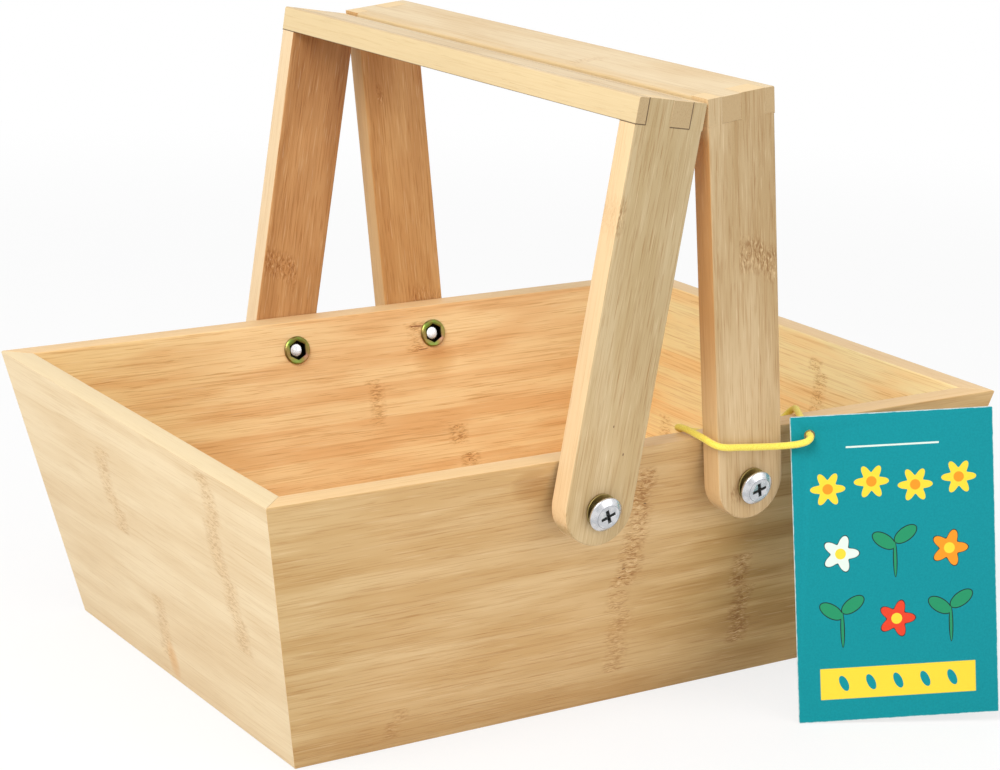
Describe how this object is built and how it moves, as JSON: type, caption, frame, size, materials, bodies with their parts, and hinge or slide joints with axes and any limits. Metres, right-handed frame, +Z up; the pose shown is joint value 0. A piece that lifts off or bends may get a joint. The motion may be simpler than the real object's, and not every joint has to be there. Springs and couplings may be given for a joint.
{
  "type": "trug garden basket",
  "caption": "Tapered bamboo trug box with mitred boards and folding finger-jointed handles on screw pivots, with a blank card tag on a yellow elastic loop.",
  "frame": {"origin": "middle of the tray's footprint, on the surface it stands on", "axes": "+X along the tray's length, +Y from the front wall to the back wall, +Z up"},
  "size_m": [0.315, 0.3055, 0.2326],
  "materials": {
    "boards": "satin bamboo, clear oiled",
    "handle_boards": "satin bamboo, clear oiled",
    "screw_steel": "bright zinc",
    "washer_steel": "yellow zinc",
    "insert_steel": "yellow zinc",
    "card": "matt printed card",
    "elastic": "satin elastic"
  },
  "bodies": {
    "root": {"front_wall": "boards", "back_wall": "boards", "left_end_wall": "boards", "right_end_wall": "boards", "base_panel": "boards", "pivot_screw_front_left": "screw_steel", "pivot_screw_front_right": "screw_steel", "pivot_screw_back_left": "screw_steel", "pivot_screw_back_right": "screw_steel", "washer_front_left": "washer_steel", "washer_front_right": "washer_steel", "washer_back_left": "washer_steel", "washer_back_right": "washer_steel", "insert_nut_front_left": "insert_steel", "insert_nut_front_right": "insert_steel", "insert_nut_back_left": "insert_steel", "insert_nut_back_right": "insert_steel", "hang_tag": "card", "tag_cord": "elastic", "tag_knot": "elastic"},
    "left_handle": {"left_handle_front_leg": "handle_boards", "left_handle_back_leg": "handle_boards", "left_handle_crossbar": "handle_boards"},
    "right_handle": {"right_handle_front_leg": "handle_boards", "right_handle_back_leg": "handle_boards", "right_handle_crossbar": "handle_boards"}
  },
  "joints": [
    {"name": "left_handle_fold", "type": "hinge", "parent": "root", "child": "left_handle", "pos_m": [-0.0328, 0, 0.0895], "axis": [0, -1, 0], "range_deg": [0, 128.5]},
    {"name": "right_handle_fold", "type": "hinge", "parent": "root", "child": "right_handle", "pos_m": [0.0328, 0, 0.0895], "axis": [0, 1, 0], "range_deg": [0, 126], "deforming": ["tag_cord"]}
  ]
}
